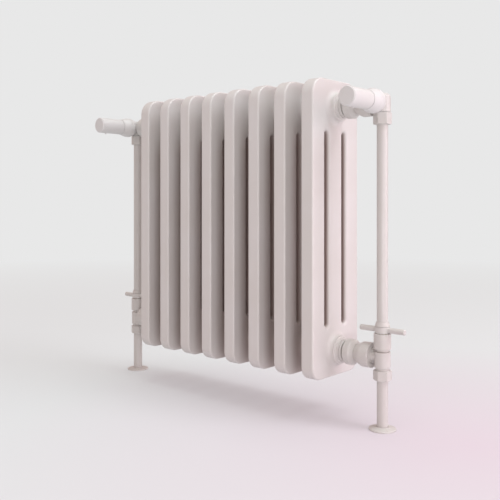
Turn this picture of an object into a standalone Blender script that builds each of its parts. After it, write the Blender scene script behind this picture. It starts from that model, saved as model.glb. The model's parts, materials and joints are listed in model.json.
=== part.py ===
"""Column radiator of eight hollow cast iron sections, standing on two floor risers with their valves.

Metres, +Z up, X along the radiator, -Y the front. The origin is on the floor, below the middle of
the whole assembly. The two ends mirror each other: SIDES gives each one its name and its X sign.
"""
import math

import bmesh
import bpy
from mathutils import Matrix, Vector

# Sections
SECTION_COUNT = 8
PITCH = 0.0715
HUB_SPACING = 0.500
LOWER_HUB_Z = 0.1428
UPPER_HUB_Z = LOWER_HUB_Z + HUB_SPACING
SECTION_DEPTH = 0.162
SECTION_BOTTOM = 0.0885
SECTION_TOP = 0.6995
TOP_CORNER_R = 0.036
BOTTOM_CORNER_R = 0.027
COLUMN_WIDTH = 0.030
COLUMN_DEPTH = 0.040
COLUMN_CHAMFER = 0.004
SLOT_END_TO_HUB = 0.051
WALL = 0.0045
BOSS_R = 0.029
BOSS_FLARE_R = 0.038
BOSS_FACE = 0.02875
NOSE_R = 0.024
HUB_BORE_R = 0.020
JOINT_GAP = 0.0016
NIPPLE_WALL = 0.0035
NIPPLE_REACH = 0.018

# Where the assembly stands
GAP = 0.0003
HEAD_REACH = 0.126
HUB_Y = (HEAD_REACH - SECTION_DEPTH / 2) / 2
END_PLANE = SECTION_COUNT * PITCH / 2
RISER_X = 0.375
UNION_LENGTH = RISER_X - END_PLANE

# Pipes, nuts and the unions between radiator and risers
PIPE_R = 0.011
PIPE_BORE_R = 0.0095
SOCKET_R = 0.0113
WATERWAY_R = 0.008
THREAD_R = 0.0132
NECK_R = 0.0125
BRANCH_R = 0.0105
TEE_TOP = 0.0108
NUT_ACROSS_FLATS = 0.032
LOWER_NUT_Z = 0.0975
LOWER_NUT_HEIGHT = 0.0197
UPPER_NUT_Z = 0.5998
UPPER_NUT_HEIGHT = 0.0236
UNION_NUT_R = 0.025
TAIL_COLLAR_R = 0.0262
MALE_END = 0.0455
MALE_END_R = 0.0162
NUT_FACE = 0.067
FLANGE_R = 0.027

# Isolating valve in each riser
BAR_Z = 0.1965
BAR_R = 0.0055
BAR_HALF_LENGTH = 0.050
VALVE_R = 0.017
VALVE_BOTTOM = 0.1585
VALVE_TOP = 0.1895
ROTOR_R = 0.0128
ROTOR_BORE_R = 0.0118
PORT_R = 0.0035
PORT_OFFSET = 0.0062

# Thermostatic valve and its head, measured forward from the riser's axis
BODY_R = 0.016
BONNET_R = 0.012
BONNET_END = 0.028
BONNET_BORE_R = 0.0062
HEAD_BASE_FRONT = 0.059
CAP_R = 0.019
CAP_WALL = 0.0025
CAPSULE_R = 0.0125
CAPSULE_WALL = 0.0012
CAPSULE_END = 0.097
SPINDLE_R = 0.0025

SEGMENTS = 12
HEAD_SEGMENTS = 16
CORNER_STEPS = 3
SIDES = (("left", -1), ("right", 1))
UPRIGHT = (0.0, 0.0, 0.0)
FORWARD = (math.pi / 2, 0.0, 0.0)
SECTION_TURN = (math.pi / 2, 0.0, math.pi / 2)

# name: (red, green, blue, roughness, metallic)
FINISHES = {
    "white_enamel": (0.80, 0.78, 0.76, 0.35, 0.0),
    "white_fitting": (0.82, 0.80, 0.78, 0.30, 0.0),
    "head_plastic": (0.80, 0.79, 0.77, 0.45, 0.0),
    "brass": (0.72, 0.55, 0.28, 0.35, 1.0),
    "steel": (0.55, 0.55, 0.56, 0.30, 1.0),
    "aluminium": (0.78, 0.78, 0.79, 0.35, 1.0),
    "seal_rubber": (0.05, 0.05, 0.05, 0.80, 0.0),
}


def clear_scene():
    """Remove every object, so that the script can run again in an open file."""
    for old in list(bpy.data.objects):
        bpy.data.objects.remove(old, do_unlink=True)


def make_material(name):
    """Principled material for one finish."""
    red, green, blue, roughness, metallic = FINISHES[name]
    material = bpy.data.materials.new(name)
    material.use_nodes = True
    shader = material.node_tree.nodes["Principled BSDF"]
    shader.inputs["Base Color"].default_value = (red, green, blue, 1.0)
    shader.inputs["Roughness"].default_value = roughness
    shader.inputs["Metallic"].default_value = metallic
    return material


def outward(sign):
    """Turn that lays a piece's own Z axis along X, pointing away from the sections."""
    return (0.0, sign * math.pi / 2, 0.0)


def finish_mesh(bm, name):
    """Turn a bmesh into a mesh with its faces out and its round sides smooth."""
    bmesh.ops.recalc_face_normals(bm, faces=bm.faces)
    mesh = bpy.data.meshes.new(name)
    bm.to_mesh(mesh)
    bm.free()
    mesh.shade_smooth()
    mesh.set_sharp_from_angle(angle=math.radians(32))
    return mesh


def place(name, mesh, location, turn, material, parent=None):
    """Object with its origin at location and its own Z axis turned by turn."""
    piece = bpy.data.objects.new(name, mesh)
    bpy.context.collection.objects.link(piece)
    piece.rotation_euler = turn
    if parent is None:
        piece.location = location
    else:
        piece.parent = parent
        piece.location = Vector(location) - parent.location
    if not mesh.materials:
        mesh.materials.append(material)
    return piece


def pivot(name, location):
    """Empty that a moving group hangs from, on its joint's axis."""
    empty = bpy.data.objects.new(name, None)
    bpy.context.collection.objects.link(empty)
    empty.location = location
    return empty


def ring_radius(radius, angle, sides):
    """Radius at an angle: round, or a polygon with this many sides and this in-radius."""
    if sides == 0:
        return radius
    half = math.pi / sides
    return radius / math.cos((angle + half) % (2 * half) - half)


def add_turned(bm, profile, segments, matrix=Matrix.Identity(4)):
    """Turn (radius, height[, sides]) points about Z. A tube's profile is a closed loop; a solid's
    profile starts and ends on the axis."""
    rings = []
    for radius, height, *sides in profile:
        count = segments if radius > 0 else 1
        ring = []
        for step in range(count):
            angle = 2 * math.pi * step / segments
            reach = ring_radius(radius, angle, sides[0] if sides else 0)
            point = Vector((reach * math.cos(angle), reach * math.sin(angle), height))
            ring.append(bm.verts.new(matrix @ point))
        rings.append(ring)
    pairs = list(zip(rings, rings[1:]))
    if profile[0][0] > 0:
        pairs.append((rings[-1], rings[0]))
    for lower, upper in pairs:
        for step in range(segments):
            after = (step + 1) % segments
            corners = [lower[step % len(lower)], lower[after % len(lower)],
                       upper[after % len(upper)], upper[step % len(upper)]]
            bm.faces.new(list(dict.fromkeys(corners)))


def turned(name, profile, segments):
    """Mesh of one turned piece."""
    bm = bmesh.new()
    add_turned(bm, profile, segments)
    return finish_mesh(bm, name)


def tube_profile(inner, outer, low, high):
    """Plain tube between two heights."""
    return [(inner, low), (outer, low), (outer, high), (inner, high)]


def rod_profile(radius, low, high, chamfer=0.0):
    """Solid rod between two heights, with an optional chamfer at its far end."""
    points = [(0, low), (radius, low), (radius, high - chamfer)]
    if chamfer:
        points.append((radius - chamfer, high))
    return points + [(0, high)]


def combine(name, solid, tools):
    """Mesh of a solid after unions and differences with (operation, mesh) tools."""
    work = bpy.data.objects.new(name, solid)
    bpy.context.collection.objects.link(work)
    helpers = []
    for operation, tool in tools:
        helper = bpy.data.objects.new(name + "_tool", tool)
        bpy.context.collection.objects.link(helper)
        helper.hide_render = True
        helper.display_type = "WIRE"
        helpers.append(helper)
        step = work.modifiers.new(operation.lower(), "BOOLEAN")
        step.operation = operation
        step.solver = "EXACT"
        step.object = helper
    graph = bpy.context.evaluated_depsgraph_get()
    result = bpy.data.meshes.new_from_object(work.evaluated_get(graph))
    for done in helpers + [work]:
        bpy.data.objects.remove(done, do_unlink=True)
    result.name = name
    result.materials.clear()
    result.shade_smooth()
    result.set_sharp_from_angle(angle=math.radians(32))
    return result


def corner_arc(centre, radius, start, steps):
    """Points of a quarter circle, anticlockwise from the start angle."""
    angles = [start + math.pi / 2 * step / steps for step in range(steps + 1)]
    return [(centre[0] + radius * math.cos(a), centre[1] + radius * math.sin(a)) for a in angles]


def section_outline(inset):
    """Rounded side outline of a section in (depth, height), drawn in by inset."""
    half = SECTION_DEPTH / 2
    points = []
    for side, level, radius, start in (
            (1, SECTION_TOP, TOP_CORNER_R, 0.0),
            (-1, SECTION_TOP, TOP_CORNER_R, math.pi / 2),
            (-1, SECTION_BOTTOM, BOTTOM_CORNER_R, math.pi),
            (1, SECTION_BOTTOM, BOTTOM_CORNER_R, 1.5 * math.pi)):
        rise = -radius if level == SECTION_TOP else radius
        points += corner_arc((side * (half - radius), level + rise), radius - inset, start, CORNER_STEPS)
    return points


def slot_outline(centre, inset):
    """Round-ended slot between two columns, grown by inset."""
    half_width = (SECTION_DEPTH - 3 * COLUMN_DEPTH) / 4
    top = UPPER_HUB_Z - SLOT_END_TO_HUB - half_width
    bottom = LOWER_HUB_Z + SLOT_END_TO_HUB + half_width
    reach = half_width + inset
    steps = 2
    points = []
    for side, level, start in ((1, top, 0.0), (-1, top, math.pi / 2),
                               (-1, bottom, math.pi), (1, bottom, 1.5 * math.pi)):
        arc = corner_arc((centre, level), reach, start, steps)
        points += arc[:-1] if start in (0.0, math.pi) else arc
    return points


def section_loops(inset):
    """A section's outline and its two slots, all cut back by inset."""
    slot_centre = COLUMN_DEPTH / 2 + (SECTION_DEPTH - 3 * COLUMN_DEPTH) / 4
    return [section_outline(inset), slot_outline(-slot_centre, inset), slot_outline(slot_centre, inset)]


def slab(name, levels):
    """Closed slab through (height, inset) levels of the section's loops; depth and height of the
    loops are its own X and Y, its thickness is its own Z."""
    bm = bmesh.new()
    layers = []
    for height, inset in levels:
        layer = []
        for loop in section_loops(inset):
            layer.append([bm.verts.new((x, y, height)) for x, y in loop])
        layers.append(layer)
    for lower, upper in zip(layers, layers[1:]):
        for low_loop, high_loop in zip(lower, upper):
            for step in range(len(low_loop)):
                after = (step + 1) % len(low_loop)
                bm.faces.new((low_loop[step], low_loop[after], high_loop[after], high_loop[step]))
    for layer in (layers[0], layers[-1]):
        edges = []
        for loop in layer:
            edges += [bm.edges.get((a, b)) for a, b in zip(loop, loop[1:] + loop[:1])]
        bmesh.ops.triangle_fill(bm, use_beauty=True, use_dissolve=False, edges=edges)
    return finish_mesh(bm, name)


def hub_profile(with_nipple):
    """A section's hub: a boss at each side that flares into the casting, a narrower nose that meets
    the joint, and at its left the joining nipple that enters the neighbour's bore."""
    face = (PITCH - JOINT_GAP) / 2
    flare = COLUMN_WIDTH / 2 - 0.0005
    half = [(BOSS_FLARE_R, flare), (BOSS_R, flare + 0.008), (BOSS_R, BOSS_FACE), (NOSE_R, BOSS_FACE + 0.001),
            (NOSE_R, face)]
    points = [(0, face)] + half[::-1] + [(radius, -height) for radius, height in half]
    if not with_nipple:
        return points + [(0, -face)]
    barrel = HUB_BORE_R - GAP
    tip = -PITCH / 2 - NIPPLE_REACH
    return points + [(barrel, -face), (barrel, tip), (0, tip)]


def section_mesh(with_nipples):
    """Hollow section: slotted slab with two flared hubs, its waterway and the two hub bores."""
    half = COLUMN_WIDTH / 2
    outside = slab("section_outside", [(-half, COLUMN_CHAMFER), (COLUMN_CHAMFER - half, 0.0),
                                       (half - COLUMN_CHAMFER, 0.0), (half, COLUMN_CHAMFER)])
    waterway = slab("section_waterway", [(WALL - half, WALL), (half - WALL, WALL)])
    left_bore = HUB_BORE_R - NIPPLE_WALL if with_nipples else HUB_BORE_R
    bore = [(0, -PITCH), (left_bore, -PITCH), (left_bore, 0), (HUB_BORE_R, 0), (HUB_BORE_R, PITCH),
            (0, PITCH)]
    hubs = bmesh.new()
    bores = bmesh.new()
    for height in (LOWER_HUB_Z, UPPER_HUB_Z):
        offset = Matrix.Translation((0.0, height, 0.0))
        add_turned(hubs, hub_profile(with_nipples), SEGMENTS, offset)
        add_turned(bores, bore, SEGMENTS, offset)
    tools = [("UNION", finish_mesh(hubs, "hubs")), ("DIFFERENCE", waterway),
             ("DIFFERENCE", finish_mesh(bores, "bores"))]
    return combine("section", outside, tools)


def build_sections(materials):
    """Eight sections side by side: all but the first carry the nipples of the joints on their left."""
    first = section_mesh(with_nipples=False)
    joined = section_mesh(with_nipples=True)
    for number in range(SECTION_COUNT):
        x = (number - (SECTION_COUNT - 1) / 2) * PITCH
        mesh = joined if number else first
        place(f"section_{number + 1}", mesh, (x, HUB_Y, 0.0), SECTION_TURN, materials["white_enamel"])


def bush_mesh():
    """Reducing bush: a barrel in the hub and a flange against its gasket."""
    barrel = HUB_BORE_R - GAP
    bore = 0.0105
    back = JOINT_GAP / 2
    front = back + 0.0047
    rim = NOSE_R - 0.001
    profile = [(bore, -0.018), (barrel, -0.018), (barrel, back), (rim, back), (rim, front), (bore, front)]
    return turned("bush", profile, SEGMENTS)


def tail_mesh():
    """Union tail: thread in the bush, deep groove, domed collar, and a shoulder inside the nut."""
    collar = TAIL_COLLAR_R
    profile = [(WATERWAY_R, -0.015), (0.0102, -0.015), (0.0102, 0.0058), (0.0175, 0.0058), (0.0175, 0.0095),
               (collar, 0.0100), (collar, 0.0235), (0.018, 0.0310), (NECK_R, 0.0310), (NECK_R, 0.0403),
               (0.016, 0.0403), (0.016, 0.0452), (WATERWAY_R, 0.0452)]
    return turned("tail", profile, SEGMENTS)


def union_nut_mesh():
    """Round union nut: a cone that widens away from the radiator, then a cylinder."""
    lip = NECK_R + GAP
    inside = MALE_END_R + GAP
    profile = [(lip, 0.0313), (0.018, 0.0313), (UNION_NUT_R, 0.047), (UNION_NUT_R, NUT_FACE),
               (inside, NUT_FACE), (inside, 0.040), (lip, 0.040)]
    return turned("union_nut", profile, SEGMENTS)


def build_unions(materials):
    """Bush, tail and union nut at each of the four end hubs."""
    meshes = {"bush": bush_mesh(), "tail": tail_mesh(), "union_nut": union_nut_mesh()}
    for side, sign in SIDES:
        for level, height in (("top", UPPER_HUB_Z), ("bottom", LOWER_HUB_Z)):
            for piece, mesh in meshes.items():
                spot = (sign * END_PLANE, HUB_Y, height)
                place(f"{side}_{level}_{piece}", mesh, spot, outward(sign), materials["white_fitting"])


def branch_profile():
    """Outer profile of a fitting's side branch, from the riser's axis to its male end."""
    male = UNION_LENGTH - MALE_END
    return [(0, 0.0), (BRANCH_R, 0.0), (BRANCH_R, UNION_LENGTH - NUT_FACE - GAP),
            (MALE_END_R, UNION_LENGTH - NUT_FACE - GAP), (MALE_END_R, male), (0, male)]


def turned_tool(name, profile, segments, matrix=Matrix.Identity(4)):
    """Turned mesh laid by a matrix, for use as a Boolean tool."""
    bm = bmesh.new()
    add_turned(bm, profile, segments, matrix)
    return finish_mesh(bm, name)


def tee_mesh():
    """Riser tee, with its side branch along its own -X."""
    inward = Matrix.Rotation(-math.pi / 2, 4, "Y")
    trunk = [(0, -0.036), (THREAD_R, -0.036), (THREAD_R, -0.0205), (BODY_R, -0.0205), (BODY_R, TEE_TOP),
             (0, TEE_TOP)]
    bore = [(0, -0.040), (SOCKET_R, -0.040), (SOCKET_R, -0.0165), (WATERWAY_R, -0.0165), (WATERWAY_R, 0.0),
            (0.0105, 0.0), (0.0105, 0.014), (0, 0.014)]
    side_bore = rod_profile(WATERWAY_R, 0.0, UNION_LENGTH)
    tools = [("UNION", turned_tool("branch", branch_profile(), SEGMENTS, inward)),
             ("DIFFERENCE", turned_tool("side_bore", side_bore, SEGMENTS, inward)),
             ("DIFFERENCE", turned_tool("bore", bore, SEGMENTS))]
    return combine("tee", turned("trunk", trunk, SEGMENTS), tools)


def pipe_nut_mesh(height):
    """Hexagon compression nut with a lip round the pipe at its lower end."""
    flat = NUT_ACROSS_FLATS / 2
    edge = flat - 0.0007
    inside = THREAD_R + GAP
    profile = [(SOCKET_R, 0.0), (edge, 0.0), (flat, 0.0015, 6), (flat, height - 0.0015, 6), (edge, height),
               (inside, height), (inside, 0.005), (SOCKET_R, 0.005)]
    return turned("pipe_nut", profile, SEGMENTS)


def build_risers(materials):
    """Floor flange, both pipe lengths, their nuts and the tee at each end."""
    white = materials["white_fitting"]
    flange = [(SOCKET_R, 0.0), (FLANGE_R, 0.0), (FLANGE_R, 0.003), (0.0145, 0.0065), (SOCKET_R, 0.0065)]
    lower = tube_profile(PIPE_BORE_R, PIPE_R, 0.0005, LOWER_HUB_Z - 0.0168)
    upper = tube_profile(PIPE_BORE_R, PIPE_R, 0.172, UPPER_HUB_Z - 0.0168)
    meshes = (("floor_flange", turned("flange", flange, SEGMENTS), 0.0),
              ("lower_pipe", turned("lower_pipe", lower, SEGMENTS), 0.0),
              ("upper_pipe", turned("upper_pipe", upper, SEGMENTS), 0.0),
              ("lower_pipe_nut", pipe_nut_mesh(LOWER_NUT_HEIGHT), LOWER_NUT_Z),
              ("upper_pipe_nut", pipe_nut_mesh(UPPER_NUT_HEIGHT), UPPER_NUT_Z))
    tee = tee_mesh()
    for side, sign in SIDES:
        for piece, mesh, height in meshes:
            place(f"{side}_{piece}", mesh, (sign * RISER_X, HUB_Y, height), UPRIGHT, white)
        turn = UPRIGHT if sign > 0 else (0.0, 0.0, math.pi)
        place(f"{side}_tee", tee, (sign * RISER_X, HUB_Y, LOWER_HUB_Z), turn, white)


def build_olives(materials):
    """Compression rings inside the four pipe nuts."""
    olive = [(SOCKET_R, 0.0), (THREAD_R - 0.0003, 0.0017), (SOCKET_R, 0.0034)]
    mesh = turned("olive", olive, SEGMENTS)
    for side, sign in SIDES:
        for level, height in (("lower", LOWER_HUB_Z - 0.0398), ("upper", UPPER_HUB_Z - 0.0371)):
            spot = (sign * RISER_X, HUB_Y, height)
            place(f"{side}_{level}_olive", mesh, spot, UPRIGHT, materials["brass"])


def port_tools(low, high):
    """Two port cutters across a valve disc."""
    bm = bmesh.new()
    for way in (-1, 1):
        offset = Matrix.Translation((way * PORT_OFFSET, 0.0, 0.0))
        add_turned(bm, rod_profile(PORT_R, low, high), 8, offset)
    return [("DIFFERENCE", finish_mesh(bm, "ports"))]


def isolating_body_mesh():
    """Valve body screwed into the tee: a chamber above a fixed disc with two ports."""
    chamber = 0.0137
    floor = 0.1662
    spigot = LOWER_HUB_Z + TEE_TOP + GAP
    outside = [(0, 0.162), (WATERWAY_R, 0.162), (WATERWAY_R, 0.1435), (0.0102, 0.1435), (0.0102, spigot),
               (NECK_R, spigot), (NECK_R, VALVE_BOTTOM), (VALVE_R, VALVE_BOTTOM), (VALVE_R, VALVE_TOP),
               (chamber, VALVE_TOP), (chamber, floor), (0, floor)]
    return combine("isolating_body", turned("body", outside, SEGMENTS), port_tools(0.160, 0.168))


def rotor_mesh():
    """Turning disc with two ports and a sleeve up to the bar's collar, about its own origin."""
    low = 0.1665 - BAR_Z
    high = VALVE_TOP - BAR_Z + 0.0001
    cup = [(0, low), (ROTOR_R, low), (ROTOR_R, high), (ROTOR_BORE_R, high), (ROTOR_BORE_R, low + 0.004),
           (0, low + 0.004)]
    return combine("rotor", turned("cup", cup, SEGMENTS), port_tools(low - 0.002, low + 0.006))


def tee_bar_mesh():
    """Collar with two opposite spokes, about its own origin."""
    low = VALVE_TOP + 0.0005 - BAR_Z
    high = 0.0065
    collar = tube_profile(ROTOR_BORE_R, 0.0150, low, high)
    spokes = bmesh.new()
    for way in (-1, 1):
        lay = Matrix.Rotation(way * math.pi / 2, 4, "Y")
        add_turned(spokes, rod_profile(BAR_R, 0.0130, BAR_HALF_LENGTH), 8, lay)
    tools = [("UNION", finish_mesh(spokes, "spokes"))]
    return combine("tee_bar", turned("collar", collar, SEGMENTS), tools)


def build_isolating_valves(materials):
    """In-line valve in each riser, with its turning bar and disc on one pivot."""
    body = isolating_body_mesh()
    bar = tee_bar_mesh()
    rotor = rotor_mesh()
    cap_outline = [(SOCKET_R, 0.2033), (0.0148, 0.2033), (0.0122, 0.2120), (SOCKET_R, 0.2120)]
    cap = turned("valve_cap", cap_outline, SEGMENTS)
    for side, sign in SIDES:
        spot = (sign * RISER_X, HUB_Y, 0.0)
        place(f"{side}_isolating_body", body, spot, UPRIGHT, materials["white_fitting"])
        place(f"{side}_valve_cap", cap, spot, UPRIGHT, materials["white_fitting"])
        centre = (sign * RISER_X, HUB_Y, BAR_Z)
        turning = pivot(f"{side}_bar_pivot", centre)
        place(f"{side}_tee_bar", bar, centre, UPRIGHT, materials["white_fitting"], turning)
        place(f"{side}_valve_rotor", rotor, centre, UPRIGHT, materials["brass"], turning)


def top_body_mesh():
    """Corner valve body: pipe from below, branch along its own -X and bonnet forward."""
    inward = Matrix.Rotation(-math.pi / 2, 4, "Y")
    forward = Matrix.Rotation(math.pi / 2, 4, "X")
    trunk = [(0, -0.0335), (THREAD_R, -0.0335), (THREAD_R, -0.0190), (BODY_R, -0.0190), (BODY_R, 0.0125),
             (0.0100, 0.0185), (0, 0.0185)]
    bore = [(0, -0.036), (SOCKET_R, -0.036), (SOCKET_R, -0.0165), (WATERWAY_R, -0.0165), (WATERWAY_R, 0.010),
            (0, 0.010)]
    bonnet = rod_profile(BONNET_R, 0.0, BONNET_END)
    bonnet_bore = rod_profile(BONNET_BORE_R, 0.0, BONNET_END + 0.004)
    side_bore = rod_profile(WATERWAY_R, 0.0, UNION_LENGTH)
    tools = [("UNION", turned_tool("branch", branch_profile(), SEGMENTS, inward)),
             ("UNION", turned_tool("bonnet", bonnet, SEGMENTS, forward)),
             ("DIFFERENCE", turned_tool("side_bore", side_bore, SEGMENTS, inward)),
             ("DIFFERENCE", turned_tool("bonnet_bore", bonnet_bore, SEGMENTS, forward)),
             ("DIFFERENCE", turned_tool("bore", bore, SEGMENTS))]
    return combine("top_body", turned("trunk", trunk, SEGMENTS), tools)


def spring_mesh():
    """Return spring round the spindle, closed at both wire ends."""
    coil_r = 0.0043
    wire_r = 0.0006
    low = 0.0075
    height = 0.0112
    turns = 4
    steps = turns * 7
    sides = 3
    bm = bmesh.new()
    rings = []
    for step in range(steps + 1):
        angle = 2 * math.pi * step / 7
        rise = low + height * step / steps
        ring = []
        for corner in range(sides):
            around = 2 * math.pi * corner / sides
            reach = coil_r + wire_r * math.cos(around)
            ring.append(bm.verts.new((reach * math.cos(angle), reach * math.sin(angle),
                                      rise + wire_r * math.sin(around))))
        rings.append(ring)
    for lower, upper in zip(rings, rings[1:]):
        for corner in range(sides):
            after = (corner + 1) % sides
            bm.faces.new((lower[corner], lower[after], upper[after], upper[corner]))
    bm.faces.new(rings[0])
    bm.faces.new(rings[-1])
    return finish_mesh(bm, "spring")


def head_base_profile():
    """Bulb behind the turning cap, hollow round the ring nut and the sensor."""
    outer = [(0.0165, 0.0165), (0.0207, 0.0212), (0.0216, 0.0246), (0.0243, 0.0310), (0.0241, 0.0410),
             (0.0200, 0.0555), (0.0195, HEAD_BASE_FRONT)]
    inner = [(0.0175, HEAD_BASE_FRONT), (0.0212, 0.0380), (0.0165, 0.0187), (0.0127, 0.0184),
             (0.0127, 0.0165)]
    return outer + inner


def cap_mesh():
    """Turning cap: a cup with a chamfered front rim and one setting pin underneath."""
    inside = CAP_R - CAP_WALL
    back = HEAD_BASE_FRONT + 0.0006
    cavity = [(0, HEAD_REACH - CAP_WALL), (inside, HEAD_REACH - CAP_WALL), (inside, back)]
    rim = [(CAP_R, back), (CAP_R, HEAD_REACH - 0.002), (CAP_R - 0.002, HEAD_REACH), (0, HEAD_REACH)]
    pin = Matrix.Translation((0.0, 0.0, HEAD_REACH - 0.020)) @ Matrix.Rotation(math.pi / 2, 4, "X")
    tools = [("UNION", turned_tool("pin", rod_profile(0.002, CAP_R - 0.0008, CAP_R + 0.0025), 8, pin))]
    return combine("cap", turned("cup", cavity + rim, HEAD_SEGMENTS), tools)


def capsule_profile():
    """Sensor can, open at the front, with its closed end on the spindle."""
    inside = CAPSULE_R - CAPSULE_WALL
    outer = [(0, 0.0348), (0.006, 0.0348), (CAPSULE_R, 0.040), (CAPSULE_R, CAPSULE_END)]
    return outer + [(inside, CAPSULE_END), (inside, 0.0408), (0.0056, 0.0361), (0, 0.0361)]


def build_thermostatic_valves(materials):
    """Valve body, spindle group and head at the top of each riser."""
    white = materials["white_fitting"]
    body = top_body_mesh()
    base = turned("head_base", head_base_profile(), HEAD_SEGMENTS)
    ring_nut = turned("ring_nut", [(BONNET_R + GAP, 0.0192), (0.0138, 0.0192, 6), (0.0138, 0.0272, 6),
                                   (BONNET_R + GAP, 0.0272)], SEGMENTS)
    spring = spring_mesh()
    gland = turned("gland", tube_profile(SPINDLE_R + 0.0006, BONNET_BORE_R - GAP, 0.0205, 0.0277), SEGMENTS)
    cap = cap_mesh()
    spindle = turned("spindle", [(0, 0.0003), (0.0055, 0.0003), (0.0055, 0.0028), (SPINDLE_R, 0.0028),
                                 (SPINDLE_R, 0.0345), (0, 0.0345)], 8)
    capsule = turned("capsule", capsule_profile(), SEGMENTS)
    for side, sign in SIDES:
        spot = (sign * RISER_X, HUB_Y, UPPER_HUB_Z)
        own_body = body if sign > 0 else mirrored(body)
        place(f"{side}_top_valve_body", own_body, spot, UPRIGHT, white)
        place(f"{side}_head_ring_nut", ring_nut, spot, FORWARD, materials["brass"])
        place(f"{side}_head_base", base, spot, FORWARD, materials["head_plastic"])
        place(f"{side}_return_spring", spring, spot, FORWARD, materials["steel"])
        place(f"{side}_spindle_gland", gland, spot, FORWARD, materials["seal_rubber"])
        turning = pivot(f"{side}_head_pivot", spot)
        place(f"{side}_thermostatic_cap", cap, spot, FORWARD, materials["head_plastic"], turning)
        sliding = pivot(f"{side}_spindle_slide", spot)
        place(f"{side}_valve_spindle", spindle, spot, FORWARD, materials["steel"], sliding)
        place(f"{side}_sensor_capsule", capsule, spot, FORWARD, materials["aluminium"], sliding)


def mirrored(mesh):
    """Copy of a mesh mirrored in its own X, faces kept out."""
    bm = bmesh.new()
    bm.from_mesh(mesh)
    bmesh.ops.scale(bm, vec=(-1.0, 1.0, 1.0), verts=bm.verts)
    bmesh.ops.reverse_faces(bm, faces=bm.faces)
    return finish_mesh(bm, mesh.name + "_mirrored")


def build():
    """Make the whole assembly."""
    clear_scene()
    materials = {name: make_material(name) for name in FINISHES}
    build_sections(materials)
    build_unions(materials)
    build_risers(materials)
    build_olives(materials)
    build_isolating_valves(materials)
    build_thermostatic_valves(materials)


build()
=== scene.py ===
"""Looks for the column radiator: smooth castings, turned fittings and painted finishes.

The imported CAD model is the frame. Each CAD node is replaced by a finer mesh of the same sizes on
the same body. The pieces that are no CAD nodes of their own are added: the gaskets, the joining
nipples and the setting pins of the heads.
Metres, +Z up, X along the radiator, -Y the front. Profiles are written in millimetres.
"""

import json
import math

import bmesh
import bpy
from mathutils import Matrix, Vector


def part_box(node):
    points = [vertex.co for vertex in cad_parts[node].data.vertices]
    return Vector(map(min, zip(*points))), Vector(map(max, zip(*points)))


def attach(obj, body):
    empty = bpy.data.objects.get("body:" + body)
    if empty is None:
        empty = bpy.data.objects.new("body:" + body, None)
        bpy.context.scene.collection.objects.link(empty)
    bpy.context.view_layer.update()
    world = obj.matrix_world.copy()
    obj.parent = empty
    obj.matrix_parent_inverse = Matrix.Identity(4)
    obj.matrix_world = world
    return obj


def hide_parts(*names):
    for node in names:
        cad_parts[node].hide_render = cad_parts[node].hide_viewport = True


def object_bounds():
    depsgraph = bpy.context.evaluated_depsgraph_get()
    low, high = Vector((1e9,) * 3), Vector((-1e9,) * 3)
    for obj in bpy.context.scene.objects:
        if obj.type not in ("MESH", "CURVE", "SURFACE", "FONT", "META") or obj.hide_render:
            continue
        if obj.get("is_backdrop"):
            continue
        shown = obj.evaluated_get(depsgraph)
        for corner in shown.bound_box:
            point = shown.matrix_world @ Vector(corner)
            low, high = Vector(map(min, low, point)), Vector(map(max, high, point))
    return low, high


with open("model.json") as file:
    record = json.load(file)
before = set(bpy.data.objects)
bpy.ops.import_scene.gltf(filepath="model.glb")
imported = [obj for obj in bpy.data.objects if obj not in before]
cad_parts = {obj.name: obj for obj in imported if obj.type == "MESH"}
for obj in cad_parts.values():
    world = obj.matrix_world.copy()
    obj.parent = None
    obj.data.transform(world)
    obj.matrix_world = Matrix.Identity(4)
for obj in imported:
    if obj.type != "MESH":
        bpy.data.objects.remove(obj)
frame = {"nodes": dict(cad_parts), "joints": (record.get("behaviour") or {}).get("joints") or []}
cad_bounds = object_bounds()

MM = 0.001
SIDES = (("left", -1), ("right", 1))
SEGMENTS = 72
HEXAGON_SEGMENTS = 120
FILLET_STEPS = 4
RIM_STEPS = 9
CORNER_STEPS = 14
SLOT_STEPS = 6
FLARE_STEPS = 8
SHARP_ANGLE = math.radians(50)


def node_middle(node):
    """Middle of a CAD node's box."""
    low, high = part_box(node)
    return (low + high) / 2


# Places, all from the frame
RISER_X = node_middle("right_lower_pipe").x
HUB_Y = node_middle("right_lower_pipe").y
LOWER_HUB_Z = node_middle("right_bottom_bush").z
UPPER_HUB_Z = node_middle("right_top_bush").z
SECTION_COUNT = sum(name.startswith("section_") for name in frame["nodes"])
SECTION_LOW, SECTION_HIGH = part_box("section_1")
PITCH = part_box("section_2")[1].x - SECTION_HIGH.x
END_PLANE = SECTION_COUNT * PITCH / 2
BAR_Z = next(joint for joint in frame["joints"] if joint["name"] == "right_bar_turn")["pos_m"][2]

# Castings, in metres
JOINT_GAP = 2 * (END_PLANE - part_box(f"section_{SECTION_COUNT}")[1].x)
SECTION_DEPTH = SECTION_HIGH.y - SECTION_LOW.y
COLUMN_WIDTH = 0.030
COLUMN_DEPTH = 0.040
SLOT_FROM_MIDDLE = (SECTION_DEPTH - COLUMN_DEPTH) / 4
COLUMN_FILLET = 0.0035
SLOT_HALF_WIDTH = 0.0058
SLOT_EASE = 0.0090
TOP_CORNER_R = 0.036
BOTTOM_CORNER_R = 0.027
SLOT_END_TO_HUB = 0.051
FLARE_R = 0.041
FLARE_HEIGHT = 0.0085
BOSS_R = 0.029
BOSS_FACE = 0.02875
NOSE_R = 0.024
HUB_BORE_R = 0.020

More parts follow.
